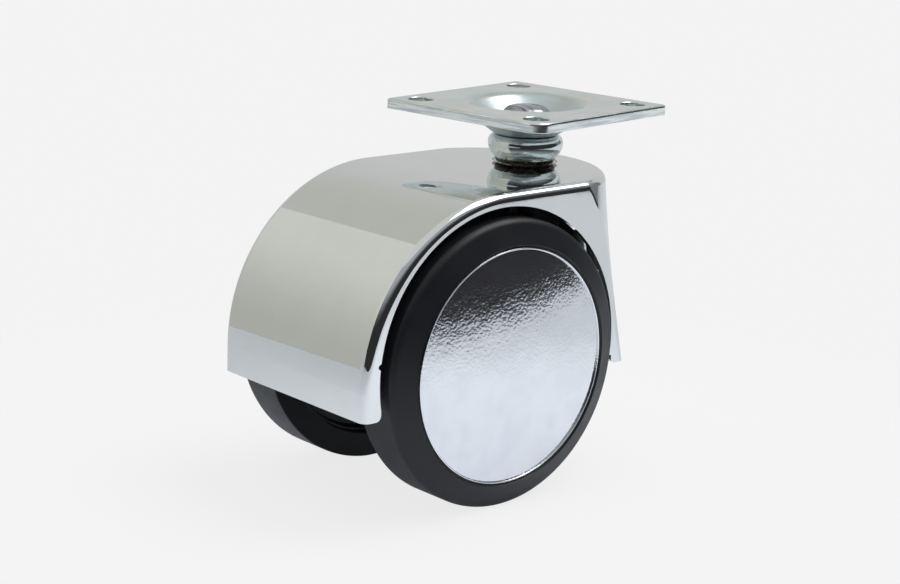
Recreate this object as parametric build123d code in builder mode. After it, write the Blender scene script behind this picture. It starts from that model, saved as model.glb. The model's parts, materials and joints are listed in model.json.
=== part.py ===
"""Hooded swivel castor with a square top plate and two chrome-capped wheels.

Frame, in millimetres: the origin is the centre of the top plate's upper face, on the
swivel axis. +Z is up out of the plate, +X points to the hood's nose and +Y to the left
wheel. The axle lies behind the swivel axis and below the plate.
"""

import os
from math import sqrt

from build123d import *

os.makedirs("parts", exist_ok=True)

# Driving dimensions
wheel_diameter = 60.0
trail = 26.5
plate_to_axle = 48.0

plate_side = 42.6
plate_thickness = 2.1
plate_corner = 1.0
cut_corner = 3.5
plate_turn = 7.0
hole_spacing = 32.0
hole_diameter = 5.5

hood_width = 47.0
hood_sheet = 1.2
hood_bend = 1.8
hood_radius = 36.0

wheel_gap = 30.0
cap_diameter = 49.1
axle_diameter = 6.0
kingpin_diameter = 7.0
running_clearance = 0.05

# Planes and axes shared by the pieces
axle_x = -trail
axle_z = -plate_to_axle
side_plane = Plane(origin=(axle_x, 0, axle_z), x_dir=(1, 0, 0), z_dir=(0, -1, 0))
plate_plane = Plane.XY.rotated((0, 0, plate_turn))
axle_plane = Plane(origin=(axle_x, 0, axle_z), x_dir=(0, 1, 0), z_dir=(1, 0, 0))
axle_line = Axis((axle_x, 0, axle_z), (0, 1, 0))

# Margins: how far a cutting solid runs past what it cuts, and how near an edge is picked
overrun = 1.0
pick = 0.02


def save(piece, name):
    """Label a finished piece and write it under its node name."""
    piece.label = name
    export_step(piece, f"parts/{name}.step")


def corner(sketch, x, y):
    """The sketch's vertex that is nearest to a point of its own plane."""
    return sketch.vertices().sort_by_distance((x, y, 0))[0]


# Swivel stack, from the plate's dish down to the kingpin's end
kingpin_radius = kingpin_diameter / 2
dish_floor = -4.7
neck_bottom = dish_floor - plate_thickness
neck_radius = 6.9
dish_slope_run = 1.386
hood_top = -13.2
race_flange_top = hood_top + 0.9
cup_bottom = race_flange_top + 0.4
cup_wall = 0.9
cup_radius = 7.9
ball_radius = 1.4
ball_clearance = 0.1
ball_circle = 5.3
ball_count = 11
ball_height = neck_bottom - cup_wall - ball_clearance - ball_radius

# Top plate: a pressed square with its centre drawn down into a dish and neck
underside_rim = neck_radius + (dish_slope_run * (-plate_thickness - neck_bottom))
slope_length = sqrt(1 + dish_slope_run**2)
dish_rise = plate_thickness * slope_length / dish_slope_run
dish_rim = neck_radius + dish_slope_run * (-dish_rise - neck_bottom)
dish_foot = neck_radius + dish_slope_run * (dish_floor - dish_rise - neck_bottom)
dish_border = underside_rim + 2.0
rim_roll = 4.0
foot_roll = 1.2
hole_edge_roll = 0.3
plate_edge_roll = 0.5

# A knock in the upper arris of the plate's rear edge: the ball that fits it, in the plate's axes
plate_half = plate_side / 2
dent_radius = 3.0
dent_place = (-plate_half - 2.0, 4.1, 1.7)

with BuildPart() as top_plate:
    with BuildSketch(plate_plane) as plate_outline:
        Rectangle(plate_side, plate_side)
        near_corner = corner(plate_outline, -plate_half, -plate_half)
        fillet(plate_outline.vertices() - [near_corner], plate_corner)
        fillet(corner(plate_outline, -plate_half, -plate_half), cut_corner)
        Circle(dish_border, mode=Mode.SUBTRACT)
        with GridLocations(hole_spacing, hole_spacing, 2, 2):
            Circle(hole_diameter / 2, mode=Mode.SUBTRACT)
    extrude(amount=-plate_thickness)
    upper_edges = top_plate.edges().filter_by_position(Axis.Z, -pick, pick)
    hole_edges = upper_edges.filter_by(
        lambda edge: edge.geom_type == GeomType.CIRCLE
        and abs(edge.radius - hole_diameter / 2) < pick
    )
    dish_edges = upper_edges.filter_by(
        lambda edge: edge.geom_type == GeomType.CIRCLE
        and abs(edge.radius - dish_border) < pick
    )
    outline_edges = upper_edges - hole_edges - dish_edges
    fillet(hole_edges, hole_edge_roll)
    fillet(outline_edges, plate_edge_roll)
    with Locations(plate_plane.location * Location(dent_place)):
        Sphere(dent_radius, mode=Mode.SUBTRACT)
    with BuildSketch(Plane.XZ) as dish_section:
        with BuildLine():
            Polyline(
                (kingpin_radius, dish_floor),
                (dish_foot, dish_floor),
                (dish_rim, 0),
                (dish_border, 0),
                (dish_border, -plate_thickness),
                (underside_rim, -plate_thickness),
                (neck_radius, neck_bottom),
                (kingpin_radius, neck_bottom),
                close=True,
            )
        make_face()
        fillet(corner(dish_section, dish_rim, 0), rim_roll)
        fillet(corner(dish_section, dish_foot, dish_floor), foot_roll)
        fillet(corner(dish_section, underside_rim, -plate_thickness), rim_roll - plate_thickness)
        fillet(corner(dish_section, neck_radius, neck_bottom), foot_roll)
    revolve(axis=Axis.Z)
save(top_plate.part, "top_plate")

# Race cup: a barrel-shaped shell, shut at the top and curled in at its open foot
cup_shoulder = 6.3
cup_mouth = 6.1
cup_inner = cup_radius - cup_wall
cup_belly = ball_height - 0.6

with BuildPart() as race_cup:
    with BuildSketch(Plane.XZ):
        with BuildLine():
            Line((kingpin_radius, neck_bottom), (cup_shoulder, neck_bottom))
            Spline(
                (cup_shoulder, neck_bottom),
                (cup_radius, cup_belly),
                (cup_mouth + cup_wall / 2, cup_bottom),
                tangents=[(1, -0.15), (-1, -1)],
            )
            Line((cup_mouth + cup_wall / 2, cup_bottom), (cup_mouth, cup_bottom))
            Spline(
                (cup_mouth, cup_bottom),
                (cup_inner, cup_belly),
                (cup_shoulder - cup_wall / 2, neck_bottom - cup_wall),
                tangents=[(0.8, 1), (-1, 0.2)],
            )
            Line(
                (cup_shoulder - cup_wall / 2, neck_bottom - cup_wall),
                (kingpin_radius, neck_bottom - cup_wall),
            )
            Line((kingpin_radius, neck_bottom - cup_wall), (kingpin_radius, neck_bottom))
        make_face()
    revolve(axis=Axis.Z)
save(race_cup.part, "race_cup")

# Race balls: one ring of separate balls that rolls in the race's groove
with BuildPart() as race_balls:
    with Locations(Plane.XY.offset(ball_height)):
        with PolarLocations(ball_circle, ball_count):
            Sphere(ball_radius)
save(race_balls.part, "race_balls")

# Lower race: sharp-edged flange on the hood, grooved collar in the cup, tube down through the hood
flange_radius = 7.0
flange_bevel = 0.9
collar_radius = 5.6
race_bore = kingpin_radius + running_clearance
race_tube_radius = 5.0
race_tube_bottom = -20.0
groove_radius = ball_radius + ball_clearance
groove_inner = 4.0
groove_inner_height = ball_height - sqrt(groove_radius**2 - (ball_circle - groove_inner) ** 2)
groove_outer_height = ball_height - sqrt(groove_radius**2 - (ball_circle - collar_radius) ** 2)

with BuildPart() as lower_race:
    with BuildSketch(Plane.XZ):
        with BuildLine():
            Polyline(
                (race_bore, groove_inner_height),
                (race_bore, race_tube_bottom),
                (race_tube_radius, race_tube_bottom),
                (race_tube_radius, hood_top),
                (flange_radius - flange_bevel, hood_top),
                (flange_radius, (hood_top + race_flange_top) / 2),
                (flange_radius - flange_bevel, race_flange_top),
                (collar_radius, race_flange_top),
                (collar_radius, groove_outer_height),
            )
            ThreePointArc(
                (collar_radius, groove_outer_height),
                (ball_circle, ball_height - groove_radius),
                (groove_inner, groove_inner_height),
            )
            Line((groove_inner, groove_inner_height), (race_bore, groove_inner_height))
        make_face()
    revolve(axis=Axis.Z)
save(lower_race.part, "lower_race")

# Kingpin: rivet spun over into a domed head in the dish, with a retaining groove at its foot
kingpin_end = -36.0
kingpin_head_radius = 5.0
kingpin_head_top = -0.9
kingpin_head_flat = 3.0
kingpin_head_edge = 0.5
clip_thickness = 0.8
clip_bottom = kingpin_end + 1.2
clip_top = clip_bottom + clip_thickness
clip_groove_radius = 2.9
pin_chamfer = 0.5

with BuildPart() as kingpin:
    with BuildSketch(Plane.XZ):
        with BuildLine():
            Polyline(
                (kingpin_head_flat, kingpin_head_top),
                (0, kingpin_head_top),
                (0, kingpin_end),
                (kingpin_radius - pin_chamfer, kingpin_end),
                (kingpin_radius, kingpin_end + pin_chamfer),
                (kingpin_radius, clip_bottom),
                (clip_groove_radius, clip_bottom),
                (clip_groove_radius, clip_top),
                (kingpin_radius, clip_top),
                (kingpin_radius, dish_floor),
                (kingpin_head_radius, dish_floor),
                (kingpin_head_radius, dish_floor + kingpin_head_edge),
            )
            TangentArc(
                (kingpin_head_flat, kingpin_head_top),
                (kingpin_head_radius, dish_floor + kingpin_head_edge),
                tangent=(1, 0),
            )
        make_face()
    revolve(axis=Axis.Z)
save(kingpin.part, "kingpin")

# Kingpin washer and circlip: they hold the swivel half up against the race
washer_radius = 6.5
washer_thickness = 1.0

with BuildPart() as kingpin_washer:
    with BuildSketch(Plane.XY.offset(clip_top)):
        Circle(washer_radius)
        Circle(kingpin_radius, mode=Mode.SUBTRACT)
    extrude(amount=washer_thickness)
save(kingpin_washer.part, "kingpin_washer")

clip_radius = 5.4
clip_opening = 3.6

with BuildPart() as kingpin_circlip:
    with BuildSketch(Plane.XY.offset(clip_bottom)):
        Circle(clip_radius)
        Circle(clip_groove_radius, mode=Mode.SUBTRACT)
        with Locations((clip_radius, 0)):
            Rectangle(2 * clip_radius, clip_opening, mode=Mode.SUBTRACT)
    extrude(amount=clip_thickness)
save(kingpin_circlip.part, "kingpin_circlip")

# Hood: one sheet drawn over both wheels, described round the axle
hood_half = hood_width / 2
hood_centre_x = 1.0
hood_top_rise = hood_top - axle_z
hood_centre_rise = hood_top_rise - hood_radius
hood_rear_foot = -7.0
hood_front_foot = -5.4
hood_cut_depth = 6.0

nose_reach = 60.0
nose_top_tip = 14.6
nose_top_radius = 23.9
nose_foot_tip = 16.9
nose_foot_radius = 38.6
nose_waist = 0.9
nose_sections = 5
plan_half = hood_half + overrun
plan_tail = 70.0


def nose_circle(height, inset):
    """Circle of the nose at one height: it widens towards the foot, with a slight waist."""
    share = (height - hood_top) / (axle_z + hood_front_foot - hood_top)
    waist = nose_waist * 4 * share * (1 - share)
    tip = nose_top_tip + share * (nose_foot_tip - nose_top_tip) - waist - inset
    radius = nose_top_radius + share * (nose_foot_radius - nose_top_radius) - inset
    with BuildSketch(Plane.XY.offset(height)) as circle:
        with Locations(Location((tip - radius, 0, 0), (0, 0, 180))):
            Circle(radius)
    return circle.sketch


def hood_plan(inset):
    """Solid over the hood's plan: the nose is a flared, slanted cone, with a block behind it."""
    above = hood_top + overrun
    below = axle_z + hood_rear_foot - hood_cut_depth - overrun
    step = (below - above) / (nose_sections - 1)
    with BuildPart() as plan:
        loft([nose_circle(above + i * step, inset) for i in range(nose_sections)])
        with BuildSketch(Plane.XY.offset(above)):
            with Locations((nose_top_tip - nose_top_radius - plan_tail / 2, 0)):
                Rectangle(plan_tail, 2 * plan_half)
        extrude(amount=below - above)
    return plan.part


def hood_envelope(inset, bend, foot):
    """Solid bounded by the sheet's outer skin, or by its inner skin where inset is the sheet."""
    half = hood_half - inset
    radius = hood_radius - inset
    rear = hood_centre_x - radius
    top = hood_centre_rise + radius
    with BuildPart() as envelope:
        with BuildSketch(side_plane):
            with BuildLine():
                RadiusArc((rear, hood_centre_rise), (hood_centre_x, top), radius)
                Polyline(
                    (hood_centre_x, top),
                    (nose_reach, top),
                    (nose_reach, foot),
                    (rear, foot),
                    (rear, hood_centre_rise),
                )
            make_face()
        extrude(amount=half, both=True)
        add(hood_plan(inset), mode=Mode.INTERSECT)
        side_edges = envelope.edges().filter_by(
            lambda edge: abs(abs(edge.center().Y) - half) < pick
            and edge.center().Z > axle_z + foot + pick
        )
        nose_edges = envelope.edges().filter_by(
            lambda edge: abs(edge.center().Z - (axle_z + top)) < pick
            and edge.center().X > 0
            and abs(edge.center().Y) < pick
        )
        fillet(side_edges + nose_edges, bend)
    return envelope.part


arch_radius = 31.5
arch_centre = (0.2, 0.6)
arch_rear = -30.8
arch_front = 32.0
arch_front_rise = -3.5
notch_radius = 0.6
rear_notch_rise = 4.0
tab_corner = 1.2

with BuildPart() as hood:
    add(hood_envelope(inset=0, bend=hood_bend, foot=hood_rear_foot))
    add(
        hood_envelope(inset=hood_sheet, bend=hood_bend - hood_sheet, foot=hood_rear_foot - hood_cut_depth),
        mode=Mode.SUBTRACT,
    )
    with BuildSketch(side_plane):
        with Locations((nose_reach / 2, hood_front_foot - hood_cut_depth / 2)):
            Rectangle(nose_reach, hood_cut_depth)
    extrude(amount=hood_width, both=True, mode=Mode.SUBTRACT)
    with BuildSketch(side_plane):
        with Locations(arch_centre):
            Circle(arch_radius)
        with BuildLine():
            Polyline(
                (arch_rear, rear_notch_rise),
                (arch_front, arch_front_rise),
                (arch_front, hood_rear_foot - hood_cut_depth),
                (arch_rear, hood_rear_foot - hood_cut_depth),
                close=True,
            )
        make_face()
        with Locations((arch_rear - notch_radius / 2, rear_notch_rise)):
            Circle(notch_radius)
    extrude(amount=hood_width, both=True, mode=Mode.SUBTRACT)
    with BuildSketch(Plane.XY.offset(hood_top + overrun)):
        Circle(race_tube_radius)
    extrude(amount=-hood_sheet - 2 * overrun, mode=Mode.SUBTRACT)
    tab_edges = hood.edges().filter_by(Axis.Y).filter_by(
        lambda edge: abs(edge.center().X - axle_x - arch_rear) < pick
        and abs(edge.center().Z - axle_z - hood_rear_foot) < pick
        or abs(edge.center().X - axle_x - arch_front) < pick
        and abs(edge.center().Z - axle_z - hood_front_foot) < pick
    )
    fillet(tab_edges, tab_corner)
save(hood.part, "hood")

# Centre body: moulded carrier under the hood, from the kingpin sleeve back to the axle
body_top = hood_top - hood_sheet
sleeve_radius = 8.0
sleeve_bottom = -32.0
barrel_radius = 8.5
barrel_half = 12.0
web_half = 6.0
pocket_depth = 2.5
pocket_wall = 2.4
pad_half = 11.0
pad_corner = 3.0
pad_thickness = 2.2
pad_rear = -22.0
bush_seat_radius = 4.6
web_foot = 2.0
sleeve_top_rise = body_top - axle_z
sleeve_height = body_top - sleeve_bottom

with BuildPart() as centre_body:
    with BuildSketch(side_plane) as web_outline:
        Circle(barrel_radius)
        with Locations((trail - sleeve_radius, sleeve_top_rise - sleeve_height / 2)):
            Rectangle(web_foot, sleeve_height)
        make_hull()
    extrude(amount=web_half, both=True)
    with BuildSketch(side_plane) as web_pocket:
        add(web_outline.sketch_local)
        offset(amount=-pocket_wall)
        Circle(barrel_radius + overrun, mode=Mode.SUBTRACT)
        with Locations((trail, sleeve_top_rise - sleeve_height / 2)):
            Rectangle(2 * sleeve_radius + overrun, sleeve_height, mode=Mode.SUBTRACT)
    for side in (-1, 1):
        with BuildSketch(side_plane.offset(side * web_half)):
            add(web_pocket.sketch_local)
        extrude(amount=-side * pocket_depth, mode=Mode.SUBTRACT)
    with BuildSketch(side_plane):
        Circle(barrel_radius)
    extrude(amount=barrel_half, both=True)
    with BuildSketch(Plane.XY.offset(sleeve_bottom)):
        Circle(sleeve_radius)
    extrude(amount=sleeve_height)
    with BuildSketch(Plane.XY.offset(body_top)):
        with Locations(((pad_rear + sleeve_radius) / 2, 0)):
            RectangleRounded(sleeve_radius - pad_rear, 2 * pad_half, pad_corner)
    extrude(amount=-pad_thickness)
    with BuildSketch(side_plane):
        Circle(axle_diameter / 2)
    extrude(amount=barrel_half, both=True, mode=Mode.SUBTRACT)
    with BuildSketch(Plane.XY.offset(body_top)):
        Circle(race_tube_radius)
    extrude(amount=race_tube_bottom - body_top, mode=Mode.SUBTRACT)
    with BuildSketch(Plane.XY.offset(body_top)):
        Circle(bush_seat_radius)
    extrude(amount=sleeve_bottom - body_top, mode=Mode.SUBTRACT)
save(centre_body.part, "centre_body")

# Sleeve bush: flanged plain bearing for the kingpin's lower end
bush_flange_radius = 6.5
bush_flange = 0.8
bush_top = race_tube_bottom - 1.0

with BuildPart() as sleeve_bush:
    with BuildSketch(Plane.XY.offset(sleeve_bottom)):
        Circle(bush_seat_radius)
    extrude(amount=bush_top - sleeve_bottom)
    with BuildSketch(Plane.XY.offset(sleeve_bottom)):
        Circle(bush_flange_radius)
    extrude(amount=-bush_flange)
    with BuildSketch(Plane.XY.offset(bush_top)):
        Circle(race_bore)
    extrude(amount=sleeve_bottom - bush_flange - bush_top, mode=Mode.SUBTRACT)
save(sleeve_bush.part, "sleeve_bush")

# Axle: plain steel pin with chamfered ends
axle_half = 24.6
axle_radius = axle_diameter / 2

with BuildPart() as axle:
    with BuildSketch(side_plane):
        Circle(axle_radius)
    extrude(amount=axle_half, both=True)
    chamfer(axle.edges().filter_by(GeomType.CIRCLE), pin_chamfer)
save(axle.part, "axle")

# Wheel layout along the axle, measured outwards from the middle of the castor
tyre_inner = wheel_gap / 2
tyre_outer_shoulder = 25.4
tyre_lip = 27.5
lip_chamfer = 0.35
wheel_radius = wheel_diameter / 2
cap_radius = cap_diameter / 2
end_play = 0.15
spacer_outer = barrel_half + 0.6
bush_inner = spacer_outer + end_play
hub_inner = bush_inner + bush_flange
hub_outer = 22.5
clip_inner = hub_outer + end_play
hub_radius = 8.0
hub_bore = 5.0
web_inner = 18.0
web_outer = 20.6
rim_inner_radius = 24.0
rim_outer_radius = 26.0
rim_start = tyre_inner + 1.5
rim_end = 25.0
collar_end = 26.9
seat_radius = cap_radius + 0.15
recess_radius = 24.5
rib_count = 6
rib_thickness = 1.8
rib_end = 24.0
rib_root = 0.4
cap_skirt_start = 24.2
hub_chamfer = 0.8
moulding_draft = 0.6
tread_inner_roll = 0.25
tread_outer_roll = 1.6
recess_roll = 0.5


def axle_section(outline, side):
    """Face with a closed outline given as (distance along the axle, radius) points."""
    with BuildSketch(axle_plane) as section:
        with BuildLine():
            Polyline([(side * along, radius) for along, radius in outline], close=True)
        make_face()
    return section.sketch


def make_wheel_core(side):
    """Moulded wheel centre: hub, web with ribs on its outer side, rim and cap collar."""
    outline = [
        (hub_inner, hub_bore),
        (hub_inner, hub_radius - hub_chamfer),
        (hub_inner + hub_chamfer, hub_radius),
        (web_inner, hub_radius + moulding_draft),
        (web_inner, rim_inner_radius - moulding_draft),
        (rim_start, rim_inner_radius),
        (rim_start, rim_outer_radius),
        (rim_end, rim_outer_radius),
        (rim_end, seat_radius),
        (collar_end, seat_radius),
        (collar_end, rim_inner_radius),
        (cap_skirt_start - overrun, rim_inner_radius),
        (web_outer, rim_inner_radius - moulding_draft),
        (web_outer, hub_radius),
        (hub_outer, hub_radius - moulding_draft),
        (hub_outer, hub_bore),
    ]
    with BuildPart() as core:
        revolve(axle_section(outline, side), axis=axle_line)
        with BuildSketch(side_plane.offset(-side * web_outer)):
            with PolarLocations((hub_radius + rim_inner_radius - moulding_draft) / 2, rib_count):
                Rectangle(rim_inner_radius - hub_radius + rib_root, rib_thickness)
        extrude(amount=-side * (rib_end - web_outer))
    return core.part


def make_tyre(side):
    """Black tread ring: flat tread, rounded shoulders, coned outer face and a lip at each side."""
    outline = [
        (tyre_inner, recess_radius),
        (tyre_inner, wheel_radius),
        (tyre_outer_shoulder, wheel_radius),
        (tyre_lip, seat_radius + lip_chamfer),
        (tyre_lip - lip_chamfer, seat_radius),
        (rim_end, seat_radius),
        (rim_end, rim_outer_radius),
        (rim_start, rim_outer_radius),
        (rim_start, recess_radius),
    ]
    with BuildPart() as tyre:
        with BuildSketch(axle_plane) as section:
            with BuildLine():
                Polyline([(side * along, radius) for along, radius in outline], close=True)
            make_face()
            fillet(corner(section, side * tyre_inner, wheel_radius), tread_inner_roll)
            fillet(corner(section, side * tyre_outer_shoulder, wheel_radius), tread_outer_roll)
            fillet(corner(section, side * tyre_inner, recess_radius), recess_roll)
        revolve(axis=axle_line)
    return tyre.part


cap_sheet = 0.6
cap_bead_top = 27.9
cap_bead_width = 0.7
cap_bead_drop = 0.3
cap_crown = 1.1


def make_wheel_cap(side):
    """Pressed chromed cap: shallow dome, fine raised bead round it and a skirt in the rim."""
    bead_inner = cap_radius - cap_bead_width
    dome_edge = cap_bead_top - cap_bead_drop
    skirt_inner = rim_inner_radius - cap_sheet
    with BuildPart() as cap:
        with BuildSketch(axle_plane):
            with BuildLine():
                TangentArc(
                    (side * (dome_edge + cap_crown), 0), (side * dome_edge, bead_inner), tangent=(0, 1)
                )
                ThreePointArc(
                    (side * dome_edge, bead_inner),
                    (side * cap_bead_top, cap_radius - cap_bead_width / 2),
                    (side * (cap_bead_top - cap_bead_width / 2), cap_radius),
                )
                Polyline(
                    (side * (cap_bead_top - cap_bead_width / 2), cap_radius),
                    (side * collar_end, cap_radius),
                    (side * collar_end, rim_inner_radius),
                    (side * cap_skirt_start, rim_inner_radius),
                    (side * cap_skirt_start, skirt_inner),
                    (side * (dome_edge - cap_sheet), skirt_inner),
                )
                TangentArc(
                    (side * (dome_edge - cap_sheet + cap_crown), 0),
                    (side * (dome_edge - cap_sheet), skirt_inner),
                    tangent=(0, 1),
                )
                Line(
                    (side * (dome_edge - cap_sheet + cap_crown), 0),
                    (side * (dome_edge + cap_crown), 0),
                )
            make_face()
        revolve(axis=axle_line)
    return cap.part


def make_wheel_bush(side):
    """Flanged plain bearing that runs on the axle."""
    outline = [
        (bush_inner, axle_radius + running_clearance),
        (bush_inner, bush_flange_radius),
        (hub_inner, bush_flange_radius),
        (hub_inner, hub_bore),
        (hub_outer, hub_bore),
        (hub_outer, axle_radius + running_clearance),
    ]
    with BuildPart() as bush:
        revolve(axle_section(outline, side), axis=axle_line)
    return bush.part


def make_axle_spacer(side):
    """Thin washer between the centre body's barrel and the wheel bush."""
    outline = [
        (barrel_half, axle_radius),
        (barrel_half, bush_flange_radius),
        (spacer_outer, bush_flange_radius),
        (spacer_outer, axle_radius),
    ]
    with BuildPart() as spacer:
        revolve(axle_section(outline, side), axis=axle_line)
    return spacer.part


def make_axle_clip(side):
    """Push-on retaining cap: a dished disc with a closed dome over the axle's end."""
    disc = 0.7
    dish = 0.2
    dome_outer = axle_radius + disc
    dome_end = axle_half + disc
    outline = [
        (clip_inner, axle_radius),
        (clip_inner + dish, bush_flange_radius),
        (clip_inner + dish + disc, bush_flange_radius),
        (clip_inner + disc, dome_outer),
        (dome_end - disc, dome_outer),
        (dome_end, dome_outer - disc),
        (dome_end, 0),
        (axle_half, 0),
        (axle_half, axle_radius),
    ]
    with BuildPart() as clip:
        revolve(axle_section(outline, side), axis=axle_line)
    return clip.part


for side, name in ((1, "left"), (-1, "right")):
    save(make_wheel_core(side), f"wheel_core_{name}")
    save(make_tyre(side), f"tyre_{name}")
    save(make_wheel_cap(side), f"wheel_cap_{name}")
    save(make_wheel_bush(side), f"wheel_bush_{name}")
    save(make_axle_spacer(side), f"axle_spacer_{name}")
    save(make_axle_clip(side), f"axle_clip_{name}")
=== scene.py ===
"""Looks of the hooded swivel castor: chromed hood and wheel caps, zinc-plated swivel plate, black tyres.

Everything is in metres, in the castor's own frame: the origin is the centre of the plate's upper
face, +X points to the hood's nose, +Y to the left wheel and +Z is up.
"""

import json
import math

import bmesh
import bpy
from mathutils import Matrix, Vector


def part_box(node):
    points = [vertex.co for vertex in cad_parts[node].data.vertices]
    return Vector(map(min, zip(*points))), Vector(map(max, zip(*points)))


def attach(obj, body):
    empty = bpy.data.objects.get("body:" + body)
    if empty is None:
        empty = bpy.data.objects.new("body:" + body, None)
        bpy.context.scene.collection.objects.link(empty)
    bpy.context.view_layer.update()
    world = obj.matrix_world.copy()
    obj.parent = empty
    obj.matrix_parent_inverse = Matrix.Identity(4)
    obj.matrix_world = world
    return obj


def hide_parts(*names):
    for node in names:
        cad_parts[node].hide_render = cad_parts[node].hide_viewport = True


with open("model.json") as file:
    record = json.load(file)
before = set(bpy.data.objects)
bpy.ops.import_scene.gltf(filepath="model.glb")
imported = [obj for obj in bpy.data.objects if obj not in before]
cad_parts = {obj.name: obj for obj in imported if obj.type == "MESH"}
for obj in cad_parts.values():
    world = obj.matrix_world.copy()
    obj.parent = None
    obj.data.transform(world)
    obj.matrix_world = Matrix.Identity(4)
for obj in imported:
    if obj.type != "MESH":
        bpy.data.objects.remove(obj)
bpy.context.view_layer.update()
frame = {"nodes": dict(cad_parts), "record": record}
nodes = frame["nodes"]
scene = bpy.context.scene
millimetre = 0.001

# Camera of the photograph: where it stands, which way it looks, and its lens
picture_width = 900
lens_in_pixels = 2122.7
sensor_width = 36.0
camera_place = Vector((-0.30719, -0.32775, 0.06954))
camera_yaw = 0.7195
camera_pitch = 0.2444
camera_roll = -0.0333

# Studio: a paper table between grey walls, a dark front round the camera and a softbox above
backdrop_level = 0.896
table_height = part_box("tyre_left")[0].z
table_front = -0.250
table_back = 0.215
table_reach = 1.3
room_radius = 1.3
room_foot = -0.6
room_top = 1.9
softbox_place = Vector((0.42, -0.22, 0.78))
softbox_side = 0.60
softbox_level = 4.0

# How far the plate stands turned on its swivel, and where its sheared edge faces begin and end
plate_turn = math.radians(7)
edge_start = 20.9 * millimetre
edge_end = 21.15 * millimetre

# Places of the pieces, read from the frame
axle_low, axle_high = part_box("axle")
axle_centre = (axle_low + axle_high) / 2
cap_low, cap_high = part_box("wheel_cap_left")
race_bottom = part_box("race_cup")[0].z


def rgb(red, green, blue):
    """Colour with its alpha."""
    return (red, green, blue, 1.0)


def look_matrix(yaw, pitch, roll):
    """Rotation of a camera that is turned clockwise from +Y by yaw, tipped down by pitch, then rolled."""
    forward = Vector(
        (math.sin(yaw) * math.cos(pitch), math.cos(yaw) * math.cos(pitch), -math.sin(pitch))
    )
    right = Vector((math.cos(yaw), -math.sin(yaw), 0))
    down = forward.cross(right)
    rolled_right = right * math.cos(roll) + down * math.sin(roll)
    rolled_down = down * math.cos(roll) - right * math.sin(roll)
    return Matrix((rolled_right, -rolled_down, -forward)).transposed()


def make_camera():
    """Camera at the photograph's viewing angle."""
    data = bpy.data.cameras.new("photo_camera")
    data.sensor_width = sensor_width
    data.lens = sensor_width * lens_in_pixels / picture_width
    data.clip_start = 0.01
    data.clip_end = 20
    camera = bpy.data.objects.new("photo_camera", data)
    camera.matrix_world = Matrix.Translation(camera_place) @ look_matrix(
        camera_yaw, camera_pitch, camera_roll
    ).to_4x4()
    scene.collection.objects.link(camera)
    scene.camera = camera


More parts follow.
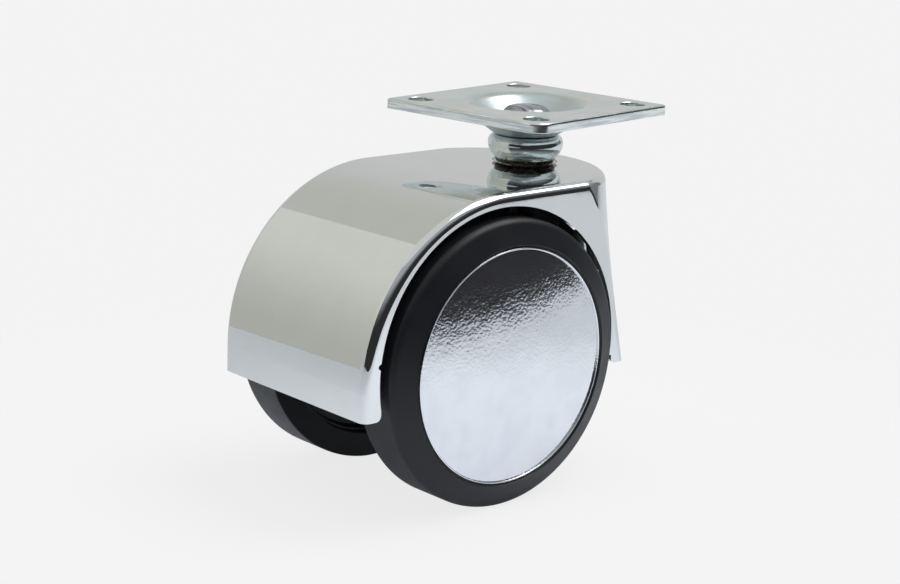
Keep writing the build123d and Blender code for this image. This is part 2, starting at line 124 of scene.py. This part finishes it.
class Shader:
    """Small helper that adds nodes to one material and links them."""

    def __init__(self, name):
        self.material = bpy.data.materials.new(name)
        self.material.use_nodes = True
        self.tree = self.material.node_tree
        self.tree.nodes.clear()
        self.output = self.add("ShaderNodeOutputMaterial")
        self.coordinates = self.add("ShaderNodeTexCoord").outputs["Object"]

    def add(self, kind, **settings):
        """New node of a kind, with its settings given by name."""
        node = self.tree.nodes.new(kind)
        for name, value in settings.items():
            setattr(node, name, value)
        return node

    def feed(self, socket, value):
        """Links a socket to another socket, or sets its value."""
        if isinstance(value, bpy.types.NodeSocket):
            self.tree.links.new(value, socket)
        else:
            socket.default_value = value

    def placed(self, scale=(1, 1, 1), shift=(0, 0, 0), turn=(0, 0, 0)):
        """Object coordinates moved, turned and scaled."""
        mapping = self.add("ShaderNodeMapping")
        self.feed(mapping.inputs["Vector"], self.coordinates)
        mapping.inputs["Location"].default_value = shift
        mapping.inputs["Rotation"].default_value = turn
        mapping.inputs["Scale"].default_value = scale
        return mapping.outputs["Vector"]

    def noise(self, size, detail=2.0, roughness=0.5, stretch=(1, 1, 1), shift=(0, 0, 0), turn=(0, 0, 0)):
        """Noise with blobs about size metres across, longer along an axis where stretch is over 1."""
        node = self.add("ShaderNodeTexNoise")
        scale = [1 / (size * longer) for longer in stretch]
        self.feed(node.inputs["Vector"], self.placed(scale, shift, turn))
        node.inputs["Scale"].default_value = 1.0
        node.inputs["Detail"].default_value = detail
        node.inputs["Roughness"].default_value = roughness
        return node.outputs["Fac"]

    def math(self, operation, first, second=0.0):
        """One sum on two values."""
        node = self.add("ShaderNodeMath", operation=operation)
        self.feed(node.inputs[0], first)
        self.feed(node.inputs[1], second)
        return node.outputs["Value"]

    def remap(self, value, low, high, to_low=0.0, to_high=1.0):
        """Value moved from the range low to high onto to_low to to_high, held at its ends."""
        node = self.add("ShaderNodeMapRange", interpolation_type="SMOOTHSTEP")
        for name, number in (
            ("Value", value),
            ("From Min", low),
            ("From Max", high),
            ("To Min", to_low),
            ("To Max", to_high),
        ):
            self.feed(node.inputs[name], number)
        return node.outputs["Result"]

    def axis(self, name):
        """One of the object's coordinates, in metres."""
        node = self.add("ShaderNodeSeparateXYZ")
        self.feed(node.inputs["Vector"], self.coordinates)
        return node.outputs[name]

    def distance(self, place):
        """Distance in metres from a place on the object."""
        node = self.add("ShaderNodeVectorMath", operation="DISTANCE")
        self.feed(node.inputs[0], self.coordinates)
        node.inputs[1].default_value = place
        return node.outputs["Value"]

    def spot(self, place, size):
        """1 at a place on the object, falling to 0 at size metres from it."""
        return self.remap(self.distance(place), 0.0, size, 1.0, 0.0)

    def mix(self, share, first, second):
        """Colour between two colours."""
        node = self.add("ShaderNodeMix", data_type="RGBA")
        inputs = {socket.identifier: socket for socket in node.inputs}
        self.feed(inputs["Factor_Float"], share)
        self.feed(inputs["A_Color"], first)
        self.feed(inputs["B_Color"], second)
        return next(socket for socket in node.outputs if socket.identifier == "Result_Color")

    def bump(self, height, depth, normal=None):
        """Normal of a surface that rises by depth metres where height is 1."""
        node = self.add("ShaderNodeBump")
        self.feed(node.inputs["Height"], height)
        node.inputs["Distance"].default_value = depth
        if normal is not None:
            self.feed(node.inputs["Normal"], normal)
        return node.outputs["Normal"]

    def finish(self, **sockets):
        """Ends the material in a Principled shader with these sockets set or linked."""
        surface = self.add("ShaderNodeBsdfPrincipled")
        for name, value in sockets.items():
            self.feed(surface.inputs[name.replace("_", " ").title().replace("Ior", "IOR")], value)
        self.tree.links.new(surface.outputs["BSDF"], self.output.inputs["Surface"])
        return self.material


def hood_chrome():
    """Mirror chrome on drawn steel: a sharp reflection, a thin film of handling and two faint smudges."""
    high_smudge = (-0.0610, 0.006, -0.0365)
    low_smudge = (-0.0612, 0.008, -0.040)
    look = Shader("hood_chrome")
    wander = look.noise(0.014, detail=1.0)
    film = look.remap(look.noise(0.009, detail=3.0, shift=(0.3, 0.1, 0.2)), 0.35, 0.75)
    smudges = look.math(
        "MAXIMUM",
        look.spot(high_smudge, 1.6 * millimetre),
        look.spot(low_smudge, 1.2 * millimetre),
    )
    clean = look.mix(film, rgb(0.79, 0.795, 0.79), rgb(0.77, 0.775, 0.765))
    return look.finish(
        base_color=look.mix(look.math("MULTIPLY", smudges, 0.5), clean, rgb(0.55, 0.55, 0.53)),
        metallic=1.0,
        roughness=look.remap(film, 0.0, 1.0, 0.02, 0.045),
        normal=look.bump(wander, 0.000006),
    )


def cap_chrome():
    """Chrome over an orange-peel ground: a mirror broken up by fine shallow cells."""
    look = Shader("cap_chrome")
    peel = look.noise(0.00062, detail=1.0, roughness=0.5)
    wander = look.noise(0.005, detail=1.0)
    haze = look.noise(0.005, detail=2.0, shift=(0.1, 0.4, 0.2))
    return look.finish(
        base_color=look.mix(look.remap(haze, 0.35, 0.7), rgb(0.79, 0.80, 0.82), rgb(0.75, 0.76, 0.79)),
        metallic=1.0,
        roughness=0.12,
        normal=look.bump(peel, 0.000036, normal=look.bump(wander, 0.00006)),
    )


def plate_edges(look):
    """1 on the plate's four sheared edge faces, 0 on its flat faces."""
    square = look.add("ShaderNodeSeparateXYZ")
    look.feed(square.inputs["Vector"], look.placed(turn=(0, 0, -plate_turn)))
    across = look.math("ABSOLUTE", square.outputs["X"])
    along = look.math("ABSOLUTE", square.outputs["Y"])
    return look.remap(look.math("MAXIMUM", across, along), edge_start, edge_end)


def plate_normal(look, edge):
    """Normal of the plate: its corners softened, and its sheared edge faces leaning a little downwards."""
    corner_radius = 0.35 * millimetre
    lean = 0.07
    rounded = look.add("ShaderNodeBevel", samples=6)
    rounded.inputs["Radius"].default_value = corner_radius
    downwards = look.add("ShaderNodeVectorMath", operation="SCALE")
    downwards.inputs[0].default_value = (0, 0, -lean)
    look.feed(downwards.inputs["Scale"], edge)
    leaning = look.add("ShaderNodeVectorMath", operation="ADD")
    look.feed(leaning.inputs[0], rounded.outputs["Normal"])
    look.feed(leaning.inputs[1], downwards.outputs["Vector"])
    normal = look.add("ShaderNodeVectorMath", operation="NORMALIZE")
    look.feed(normal.inputs[0], leaning.outputs["Vector"])
    return normal.outputs["Vector"]


def zinc_plate():
    """Bright zinc on rolled sheet: tinted satin, a duller dish with painted shade in its colour, and
    streaked, sheared edges.
    """
    dish_inner = 10.5 * millimetre
    dish_outer = 14.0 * millimetre
    dish_roughness = 0.36
    edge_polish = 0.09
    look = Shader("zinc_plate")
    tint = look.noise(0.010, detail=2.0)
    warm = look.noise(0.012, detail=2.0, shift=(0.5, 0.2, 0))
    streaks = look.noise(0.0011, detail=3.0, stretch=(9, 1, 1))
    green = look.mix(look.remap(tint, 0.38, 0.62), rgb(0.77, 0.79, 0.76), rgb(0.65, 0.74, 0.74))
    flat = look.mix(look.remap(warm, 0.52, 0.68), green, rgb(0.77, 0.72, 0.66))
    edge = plate_edges(look)
    edge_streaks = look.noise(0.0007, detail=3.0, stretch=(12, 12, 0.6))
    sheared = look.mix(look.remap(edge_streaks, 0.4, 0.6), rgb(0.92, 0.93, 0.90), rgb(0.62, 0.66, 0.67))
    # Painted shade: the dish is rougher and also painted a darker tint than the flat plate.
    dish = look.remap(look.distance((0, 0, 0)), dish_inner, dish_outer, 1.0, 0.0)
    satin = look.remap(streaks, 0.3, 0.7, 0.17, 0.26)
    dished = look.math("MAXIMUM", satin, look.math("MULTIPLY", dish, dish_roughness))
    return look.finish(
        base_color=look.mix(edge, look.mix(dish, flat, rgb(0.58, 0.65, 0.66)), sheared),
        metallic=1.0,
        roughness=look.math("SUBTRACT", dished, look.math("MULTIPLY", edge, edge_polish)),
        normal=look.bump(streaks, 0.000008, normal=plate_normal(look, edge)),
    )


def zinc_race():
    """Bright zinc on a pressed ring: smoother than the plate, with fine turning rings and dull stains."""
    look = Shader("zinc_race")
    tint = look.noise(0.008, detail=2.0)
    rings = look.noise(0.0009, detail=2.0, stretch=(8, 8, 1))
    stains = look.remap(look.noise(0.0016, detail=3.0, stretch=(2, 2, 1)), 0.60, 0.72)
    zinc = look.mix(look.remap(tint, 0.4, 0.6), rgb(0.76, 0.81, 0.79), rgb(0.70, 0.77, 0.79))
    return look.finish(
        base_color=look.mix(stains, zinc, rgb(0.50, 0.50, 0.46)),
        metallic=1.0,
        roughness=look.remap(rings, 0.3, 0.7, 0.08, 0.13),
        normal=look.bump(rings, 0.000005),
    )


def pin_head_painted_dark():
    """Rivet head spun over in the dish: streaked, with a painted dark reflection in its base colour."""
    look = Shader("zinc_pin")
    streaks = look.noise(0.0008, detail=3.0, stretch=(1, 6, 6), turn=(0, 0, 0.7))
    tone = look.remap(streaks, 0.40, 0.62)
    return look.finish(
        # Painted dark reflection: the streaks darken the head's base colour towards near black.
        base_color=look.mix(tone, rgb(0.48, 0.50, 0.52), rgb(0.16, 0.17, 0.19)),
        metallic=1.0,
        roughness=look.remap(streaks, 0.3, 0.7, 0.22, 0.36),
        normal=look.bump(streaks, 0.00003),
    )


def greasy_steel():
    """Race washer in dark brown grease, with bare metal showing in places."""
    look = Shader("greasy_steel")
    grease = look.remap(look.noise(0.0020, detail=2.0, stretch=(1.5, 1.5, 0.5)), 0.42, 0.58)
    return look.finish(
        base_color=look.mix(grease, rgb(0.60, 0.60, 0.54), rgb(0.10, 0.075, 0.045)),
        metallic=look.remap(grease, 0.0, 1.0, 1.0, 0.3),
        roughness=look.remap(grease, 0.0, 1.0, 0.16, 0.26),
        normal=look.bump(look.noise(0.0016, detail=1.0), 0.00003),
    )


def race_grease():
    """Old dark bearing grease: nearly black, glossy, browner where it is thin."""
    look = Shader("race_grease")
    thin = look.remap(look.noise(0.0015, detail=2.0), 0.45, 0.60)
    return look.finish(
        base_color=look.mix(thin, rgb(0.016, 0.013, 0.010), rgb(0.11, 0.085, 0.045)),
        metallic=0.0,
        roughness=look.remap(thin, 0.0, 1.0, 0.14, 0.28),
        normal=look.bump(look.noise(0.0011, detail=1.0), 0.00004),
    )


def plain_metal(name, color, roughness):
    """Small plated steel part: fine brushing and a faint change of tone."""
    look = Shader(name)
    tone = look.noise(0.004, detail=2.0)
    brushing = look.noise(0.0006, detail=2.0)
    darker = rgb(*[0.85 * channel for channel in color])
    return look.finish(
        base_color=look.mix(tone, rgb(*color), darker),
        metallic=1.0,
        roughness=look.remap(brushing, 0.3, 0.7, roughness, roughness + 0.08),
        normal=look.bump(brushing, 0.000008),
    )


def moulded(name, color, roughness, grain=0.0005, depth=0.00001, gloss=0.5):
    """Moulded plastic or rubber: a fine spark-eroded grain and slightly uneven gloss."""
    look = Shader(name)
    tone = look.noise(0.006, detail=2.0)
    grain_value = look.noise(grain, detail=1.0)
    lighter = rgb(*[1.25 * channel for channel in color])
    return look.finish(
        base_color=look.mix(tone, rgb(*color), lighter),
        metallic=0.0,
        specular_ior_level=gloss,
        roughness=look.remap(tone, 0.3, 0.7, roughness, roughness + 0.06),
        normal=look.bump(grain_value, depth),
    )


finishes = {
    "zinc_plate": zinc_plate(),
    "zinc_race": zinc_race(),
    "zinc_pin": pin_head_painted_dark(),
    "spring_steel": plain_metal("spring_steel", (0.25, 0.25, 0.26), 0.30),
    "ball_steel": plain_metal("ball_steel", (0.72, 0.72, 0.73), 0.06),
    "hood_chrome": hood_chrome(),
    "greasy_steel": greasy_steel(),
    "body_nylon": moulded("body_nylon", (0.014, 0.014, 0.015), 0.42),
    "bush_acetal": moulded("bush_acetal", (0.62, 0.60, 0.55), 0.30),
    "axle_steel": plain_metal("axle_steel", (0.56, 0.57, 0.58), 0.25),
    "core_nylon": moulded("core_nylon", (0.016, 0.019, 0.023), 0.40),
    "tyre_black": moulded(
        "tyre_black", (0.0080, 0.0084, 0.0110), 0.40, grain=0.0006, depth=0.000006, gloss=0.38
    ),
    "cap_chrome": cap_chrome(),
}


class Recipe:
    """Small helper that builds one Geometry Nodes tree with named inputs."""

    def __init__(self, name):
        self.tree = bpy.data.node_groups.new(name, "GeometryNodeTree")
        self.tree.is_modifier = True
        faces = self.tree.interface
        faces.new_socket("Geometry", in_out="INPUT", socket_type="NodeSocketGeometry")
        faces.new_socket("Geometry", in_out="OUTPUT", socket_type="NodeSocketGeometry")
        self.given = self.tree.nodes.new("NodeGroupInput")
        self.made = self.tree.nodes.new("NodeGroupOutput")

    def ask(self, name, kind="Float"):
        """Named input of the tree."""
        self.tree.interface.new_socket(name, in_out="INPUT", socket_type=f"NodeSocket{kind}")
        return self.given.outputs[name]

    def add(self, kind, outlet, feeds=(), **settings):
        """New node fed from a list of sockets or values; gives back the outlet named."""
        node = self.tree.nodes.new(kind)
        for name, value in settings.items():
            setattr(node, name, value)
        for inlet, value in feeds:
            socket = node.inputs[inlet]
            if isinstance(value, bpy.types.NodeSocket):
                self.tree.links.new(value, socket)
            else:
                socket.default_value = value
        return node.outputs[outlet]

    def sum(self, operation, first, second=0.0):
        """One sum on two values."""
        return self.add("ShaderNodeMath", "Value", ((0, first), (1, second)), operation=operation)

    def product(self, first, second):
        """Two values multiplied."""
        return self.sum("MULTIPLY", first, second)

    def grid(self, rows, columns):
        """Grid of points, with the row and the column that each point stands in."""
        mesh = self.add("GeometryNodeMeshGrid", "Mesh", (("Vertices X", rows), ("Vertices Y", columns)))
        index = self.add("GeometryNodeInputIndex", "Index")
        row = self.sum("FLOOR", self.sum("DIVIDE", self.sum("ADD", index, 0.5), columns))
        return mesh, row, self.sum("SUBTRACT", index, self.product(row, columns))

    def vector(self, x, y, z):
        """Vector put together from three values."""
        return self.add("ShaderNodeCombineXYZ", "Vector", (("X", x), ("Y", y), ("Z", z)))

    def moved(self, mesh, place):
        """Mesh with each point put at its place."""
        return self.add("GeometryNodeSetPosition", "Geometry", (("Geometry", mesh), ("Position", place)))

    def end(self, mesh, finish):
        """Closes the seams and ends the tree in Realize Instances and Set Material."""
        seam = 0.001 * millimetre
        closed = self.add(
            "GeometryNodeMergeByDistance", "Geometry", (("Geometry", mesh), ("Distance", seam))
        )
        real = self.add("GeometryNodeRealizeInstances", "Geometry", (("Geometry", closed),))
        dressed = self.add(
            "GeometryNodeSetMaterial", "Geometry", (("Geometry", real), ("Material", finish))
        )
        self.tree.links.new(dressed, self.made.inputs["Geometry"])
        return self.tree


def grow(name, tree, start, values, crease=40.0):
    """Plain mesh object that a tree makes from a starting mesh and its named values."""
    piece = bpy.data.objects.new(name, start)
    scene.collection.objects.link(piece)
    modifier = piece.modifiers.new(name, "NODES")
    modifier.node_group = tree
    for socket in tree.interface.items_tree:
        if socket.in_out == "INPUT" and socket.name in values:
            modifier[socket.identifier] = values[socket.name]
    made = bpy.data.meshes.new_from_object(piece.evaluated_get(bpy.context.evaluated_depsgraph_get()))
    piece.modifiers.clear()
    piece.data = made
    shape = bmesh.new()
    shape.from_mesh(made)
    bmesh.ops.recalc_face_normals(shape, faces=shape.faces)
    shape.to_mesh(made)
    shape.free()
    made.shade_smooth()
    made.set_sharp_from_angle(angle=math.radians(crease))
    return piece


def lathe_tree():
    """Turns a chain of points, each (radius, distance along the axle, 0), round an axle along Y."""
    recipe = Recipe("turned_on_the_axle")
    steps = recipe.ask("Steps Round", "Int")
    side = recipe.ask("Side")
    centre = recipe.ask("Centre", "Vector")
    finish = recipe.ask("Finish", "Material")
    section = recipe.given.outputs["Geometry"]
    rings = recipe.add("GeometryNodeAttributeDomainSize", "Point Count", (("Geometry", section),))
    across = recipe.sum("ADD", steps, 1.0)
    grid, ring, spoke = recipe.grid(rings, across)
    turn = recipe.product(recipe.sum("DIVIDE", spoke, steps), math.tau)
    places = recipe.add("GeometryNodeInputPosition", "Position")
    point = recipe.add(
        "GeometryNodeSampleIndex",
        "Value",
        (("Geometry", section), ("Value", places), ("Index", ring)),
        data_type="FLOAT_VECTOR",
    )
    radius = recipe.add("ShaderNodeSeparateXYZ", "X", (("Vector", point),))
    along = recipe.add("ShaderNodeSeparateXYZ", "Y", (("Vector", point),))
    offset = recipe.vector(
        recipe.product(radius, recipe.sum("COSINE", turn)),
        recipe.product(along, side),
        recipe.product(radius, recipe.sum("SINE", turn)),
    )
    place = recipe.add("ShaderNodeVectorMath", "Vector", ((0, offset), (1, centre)), operation="ADD")
    return recipe.end(recipe.moved(grid, place), finish)


def cap_section():
    """Section of a wheel cap from the middle of its dome, over the rim bead, down the skirt and back."""
    sheet = 0.6 * millimetre
    bead_top = cap_high.y - 1.3 * millimetre
    cap_radius = cap_high.z - axle_centre.z - 0.15 * millimetre
    bead_half = 0.18 * millimetre
    dome_radius = cap_radius - 2 * bead_half
    dome_foot = bead_top - 0.35 * millimetre
    crown = 1.92 * millimetre
    skirt_end = cap_low.y
    skirt_radius = dome_radius - 0.4 * millimetre
    dome_steps = 40
    bead_steps = 8
    outer = []
    inner = []
    bead = []
    for step in range(dome_steps + 1):
        radius = dome_radius * step / dome_steps
        rise = crown * (1 - (radius / dome_radius) ** 2)
        outer.append((radius, dome_foot + rise))
        inner.append((skirt_radius * step / dome_steps, dome_foot + rise - sheet))
    for step in range(bead_steps + 1):
        angle = math.pi * step / bead_steps
        radius = cap_radius - bead_half - bead_half * math.cos(angle)
        bead.append((radius, bead_top - bead_half + bead_half * math.sin(angle)))
    skirt = [(cap_radius, skirt_end), (skirt_radius, skirt_end)]
    return outer + bead + skirt + inner[::-1]


def chain(name, points):
    """Mesh of points only, each (x, y), for a tree to start from."""
    mesh = bpy.data.meshes.new(name)
    mesh.from_pydata([(x, y, 0.0) for x, y in points], [], [])
    return mesh


def make_wheel_caps():
    """Chromed wheel caps: a smooth dome inside a fine raised bead, one on each wheel."""
    steps_round = 240
    tree = lathe_tree()
    for name, side in (("left", 1.0), ("right", -1.0)):
        cap = grow(
            f"cap_{name}",
            tree,
            chain(f"cap_section_{name}", cap_section()),
            {
                "Steps Round": steps_round,
                "Side": side,
                "Centre": (axle_centre.x, 0.0, axle_centre.z),
                "Finish": finishes["cap_chrome"],
            },
        )
        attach(cap, f"{name}_wheel")
        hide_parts(f"wheel_cap_{name}")


def grease_tree():
    """Ragged ring of grease: a flat tube round the swivel axis that noise makes wider and narrower."""
    recipe = Recipe("ring_of_grease")
    ring_radius = recipe.ask("Ring Radius")
    height = recipe.ask("Height")
    reach = recipe.ask("Reach")
    thickness = recipe.ask("Thickness")
    lump = recipe.ask("Lump Size")
    seed = recipe.ask("Seed")
    finish = recipe.ask("Finish", "Material")
    steps = 300
    sides = 12
    roll_change = 0.4
    lump_strength = 2.4
    lump_bottom = -0.35
    grid, step, corner = recipe.grid(steps + 1, sides + 1)
    turn = recipe.product(step, math.tau / steps)
    roll = recipe.product(corner, math.tau / sides)
    spread = recipe.sum("DIVIDE", ring_radius, lump)
    around = recipe.vector(
        recipe.product(recipe.sum("COSINE", turn), spread),
        recipe.product(recipe.sum("SINE", turn), spread),
        recipe.product(recipe.sum("SINE", roll), roll_change),
    )
    ragged = recipe.add(
        "ShaderNodeTexNoise",
        "Fac",
        (("Vector", around), ("W", seed), ("Scale", 1.0), ("Detail", 3.0)),
        noise_dimensions="4D",
    )
    lumps = recipe.sum("ADD", recipe.product(ragged, lump_strength), lump_bottom)
    out = recipe.product(reach, lumps)
    radius = recipe.sum("ADD", ring_radius, recipe.product(out, recipe.sum("COSINE", roll)))
    rise = recipe.product(thickness, recipe.sum("SINE", roll))
    place = recipe.vector(
        recipe.product(radius, recipe.sum("COSINE", turn)),
        recipe.product(radius, recipe.sum("SINE", turn)),
        recipe.sum("ADD", height, rise),
    )
    return recipe.end(recipe.moved(grid, place), finish)


def make_grease():
    """Dark grease squeezed out between the race cup and the flange under it."""
    gap_under_cup = 0.4 * millimetre
    share_down = 0.6
    ring = grow(
        "grease_ring",
        grease_tree(),
        chain("grease_start", [(0.0, 0.0)]),
        {
            "Ring Radius": 6.2 * millimetre,
            "Height": race_bottom - share_down * gap_under_cup,
            "Reach": 0.28 * millimetre,
            "Thickness": 0.2 * millimetre,
            "Lump Size": 2.4 * millimetre,
            "Seed": 3.0,
            "Finish": race_grease(),
        },
    )
    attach(ring, "swivel")


def dress_nodes():
    """Gives every CAD node the finish of its material slot in the record."""
    for part in frame["record"]["subparts"]:
        node = nodes[part["node"]]
        for slot in node.material_slots:
            slot.material = finishes[part["material_slot"]]


def stage_piece(name, mesh, material, **seen_by):
    """Object of the studio, hidden from the kinds of ray that are named with False."""
    mesh.materials.append(material)
    piece = bpy.data.objects.new(name, mesh)
    scene.collection.objects.link(piece)
    for ray, seen in seen_by.items():
        setattr(piece, f"visible_{ray}", seen)
    return piece


def glow(name, low_color, high_color, low, high):
    """Material of a plain glowing card, whose colour changes from one height to another."""
    look = Shader(name)
    height = look.remap(look.axis("Z"), low, high)
    light = look.add("ShaderNodeEmission")
    look.feed(light.inputs["Color"], look.mix(height, rgb(*low_color), rgb(*high_color)))
    look.tree.links.new(light.outputs["Emission"], look.output.inputs["Surface"])
    return look.material


def make_wall(name, start, end, material):
    """Upright curved card round the castor, between two compass directions in degrees from +X."""
    mesh = bpy.data.meshes.new(name)
    shape = bmesh.new()
    steps = 24
    columns = []
    for step in range(steps + 1):
        angle = math.radians(start + (end - start) * step / steps)
        x = room_radius * math.cos(angle)
        y = room_radius * math.sin(angle)
        columns.append((shape.verts.new((x, y, room_foot)), shape.verts.new((x, y, room_top))))
    for left, right in zip(columns, columns[1:]):
        shape.faces.new((left[0], right[0], right[1], left[1]))
    shape.to_mesh(mesh)
    shape.free()
    stage_piece(name, mesh, material, camera=False)


def disc(name, radius, centre, segments):
    """Flat round mesh, level and facing up."""
    mesh = bpy.data.meshes.new(name)
    shape = bmesh.new()
    bmesh.ops.create_circle(shape, cap_ends=True, segments=segments, radius=radius)
    shape.to_mesh(mesh)
    shape.free()
    mesh.transform(Matrix.Translation(centre))
    return mesh


def make_ceiling():
    """Grey ceiling over the walls."""
    grey = (0.66, 0.69, 0.68)
    mesh = disc("ceiling", room_radius, (0, 0, room_top), 48)
    stage_piece("ceiling", mesh, glow("ceiling", grey, grey, 0, room_top), camera=False)


def make_table():
    """Pale paper that the wheels stand on, as the metal reflects it, with a painted pool of light: lighter
    and glowing near the wheels, dimmer away from them.
    """
    painted_light_centre = (-0.03, -0.05, table_height)
    dims_from = 0.05
    dims_to = 0.20
    look = Shader("table_paper")
    far = look.remap(look.distance(painted_light_centre), dims_from, dims_to)
    # Painted light: the paper's colour and glow fall off with distance from a point in front of the
    # wheels.
    paper = look.finish(
        base_color=look.mix(far, rgb(0.86, 0.90, 0.97), rgb(0.69, 0.72, 0.76)),
        roughness=0.9,
        emission_color=rgb(0.90, 0.94, 1.0),
        emission_strength=look.remap(far, 0.0, 1.0, 0.20, 0.04),
    )
    mesh = bpy.data.meshes.new("table")
    shape = bmesh.new()
    corners = (
        (-table_reach, table_front),
        (table_reach, table_front),
        (table_reach, table_back),
        (-table_reach, table_back),
    )
    shape.faces.new([shape.verts.new((x, y, table_height)) for x, y in corners])
    shape.to_mesh(mesh)
    shape.free()
    stage_piece("table", mesh, paper, camera=False, shadow=False)


def make_floor():
    """Floor that the camera sees from above: it keeps a faint shadow and fades into the backdrop."""
    floor_radius = 0.16
    fade_start = 0.07
    own_light = 0.80
    paper_shade = 0.125
    above_table = 0.2 * millimetre
    centre = (axle_centre.x, 0, table_height + above_table)
    look = Shader("floor_paper")
    paper = look.add("ShaderNodeBsdfDiffuse")
    paper.inputs["Color"].default_value = rgb(paper_shade, paper_shade, paper_shade)
    light = look.add("ShaderNodeEmission")
    light.inputs["Color"].default_value = rgb(own_light, own_light, own_light)
    lit_paper = look.add("ShaderNodeAddShader")
    look.tree.links.new(paper.outputs["BSDF"], lit_paper.inputs[0])
    look.tree.links.new(light.outputs["Emission"], lit_paper.inputs[1])
    fade = look.remap(look.distance(centre), fade_start, floor_radius)
    under = look.add("ShaderNodeNewGeometry").outputs["Backfacing"]
    clear = look.add("ShaderNodeBsdfTransparent")
    chooser = look.add("ShaderNodeMixShader")
    look.feed(chooser.inputs["Fac"], look.math("MAXIMUM", fade, under))
    look.tree.links.new(lit_paper.outputs["Shader"], chooser.inputs[1])
    look.tree.links.new(clear.outputs["BSDF"], chooser.inputs[2])
    look.tree.links.new(chooser.outputs["Shader"], look.output.inputs["Surface"])
    mesh = disc("floor", floor_radius, centre, 96)
    stage_piece(
        "floor", mesh, look.material, diffuse=False, glossy=False, transmission=False, shadow=False
    )


def make_softbox():
    """Large soft light above and in front of the nose."""
    lamp = bpy.data.lights.new("softbox", "AREA")
    lamp.shape = "SQUARE"
    lamp.size = softbox_side
    lamp.energy = math.pi * softbox_level * softbox_side**2
    holder = bpy.data.objects.new("softbox", lamp)
    aim = Vector((0, 0, table_height)) - softbox_place
    facing = aim.to_track_quat("-Z", "Y").to_matrix().to_4x4()
    holder.matrix_world = Matrix.Translation(softbox_place) @ facing
    holder.visible_camera = False
    scene.collection.objects.link(holder)


def make_world():
    """Pale background for the camera and the metal, grey room light for the rest."""
    room_light = rgb(0.62, 0.63, 0.62)
    world = bpy.data.worlds.new("studio")
    scene.world = world
    world.use_nodes = True
    tree = world.node_tree
    tree.nodes.clear()
    output = tree.nodes.new("ShaderNodeOutputWorld")
    light_path = tree.nodes.new("ShaderNodeLightPath")
    room = tree.nodes.new("ShaderNodeBackground")
    room.inputs["Color"].default_value = room_light
    backdrop = tree.nodes.new("ShaderNodeBackground")
    backdrop.inputs["Color"].default_value = rgb(backdrop_level, backdrop_level, backdrop_level)
    shiny = tree.nodes.new("ShaderNodeMath")
    shiny.operation = "MAXIMUM"
    tree.links.new(light_path.outputs["Is Glossy Ray"], shiny.inputs[0])
    tree.links.new(light_path.outputs["Is Transmission Ray"], shiny.inputs[1])
    seen = tree.nodes.new("ShaderNodeMath")
    seen.operation = "MAXIMUM"
    tree.links.new(light_path.outputs["Is Camera Ray"], seen.inputs[0])
    tree.links.new(shiny.outputs["Value"], seen.inputs[1])
    chooser = tree.nodes.new("ShaderNodeMixShader")
    tree.links.new(seen.outputs["Value"], chooser.inputs["Fac"])
    tree.links.new(room.outputs["Background"], chooser.inputs[1])
    tree.links.new(backdrop.outputs["Background"], chooser.inputs[2])
    tree.links.new(chooser.outputs["Shader"], output.inputs["Surface"])


def make_walls():
    """Four walls round the castor, which meet at compass directions in degrees from +X."""
    nose_corner = 8
    left_corner = 99
    rear_corner = 175
    side_corner = 338
    far_grey = (0.599, 0.613, 0.613)
    far_grey_high = (0.543, 0.550, 0.515)
    left_grey = (0.490, 0.497, 0.463)
    left_grey_high = (0.700, 0.707, 0.668)
    black = (0.030, 0.030, 0.033)
    black_high = (0.40, 0.42, 0.46)
    dim = (0.20, 0.205, 0.22)
    far_wall = glow("far_wall", far_grey, far_grey_high, 0.55, 1.1)
    left_wall = glow("left_wall", left_grey, left_grey_high, -0.1, 0.9)
    dark_front = glow("dark_front", black, black_high, 0.32, 1.20)
    dim_side = glow("dim_side", dim, far_grey_high, 0.2, 1.2)
    make_wall("far_wall", nose_corner, left_corner, far_wall)
    make_wall("left_wall", left_corner, rear_corner, left_wall)
    make_wall("dark_front", rear_corner, side_corner, dark_front)
    make_wall("dim_side", side_corner, nose_corner + 360, dim_side)


def make_studio():
    """Table, floor, walls, ceiling, softbox and world."""
    make_table()
    make_floor()
    make_walls()
    make_ceiling()
    make_softbox()
    make_world()


make_camera()
dress_nodes()
make_wheel_caps()
make_grease()
make_studio()

scene.view_settings.view_transform = "Standard"
